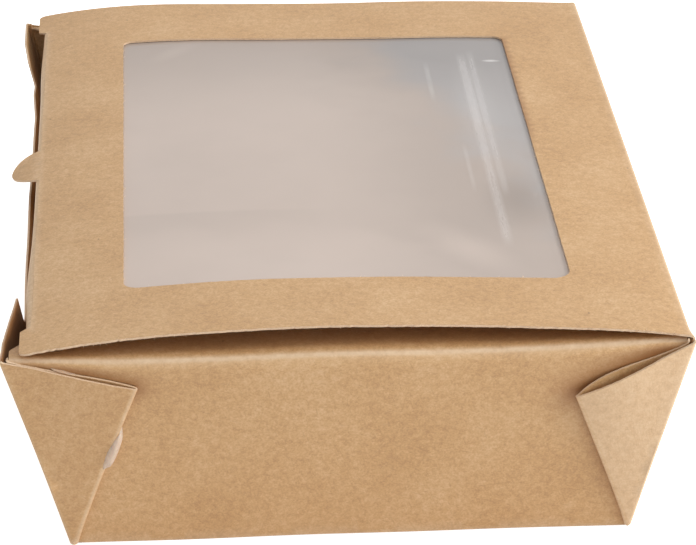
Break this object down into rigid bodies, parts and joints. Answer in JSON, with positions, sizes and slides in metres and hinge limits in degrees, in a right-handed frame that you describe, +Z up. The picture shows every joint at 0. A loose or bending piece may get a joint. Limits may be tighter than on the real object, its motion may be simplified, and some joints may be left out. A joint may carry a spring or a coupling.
{
  "type": "takeaway box",
  "caption": "Flared kraft paperboard food box with glued web corners, inner dust flaps and a windowed lid that folds on one crease and closes with a tuck flap and thumb tongue.",
  "frame": {"origin": "middle of the underside of the base, on the surface that the box stands on", "axes": "+Z up, +X towards the hinge wall, -Y towards the wall that the picture shows in front"},
  "size_m": [0.1404, 0.1998, 0.0529],
  "materials": {
    "kraft_board": "matte",
    "clear_film": "gloss",
    "dried_glue": "satin"
  },
  "bodies": {
    "tray": {"carton_tray": "kraft_board", "glue_spots": "dried_glue"},
    "lid": {"carton_lid": "kraft_board", "window_film": "clear_film"}
  },
  "joints": [
    {"name": "lid_hinge", "type": "hinge", "parent": "tray", "child": "lid", "pos_m": [0.06967, 0, 0.04852], "axis": [0, 1, 0], "range_deg": [0, 180]}
  ]
}
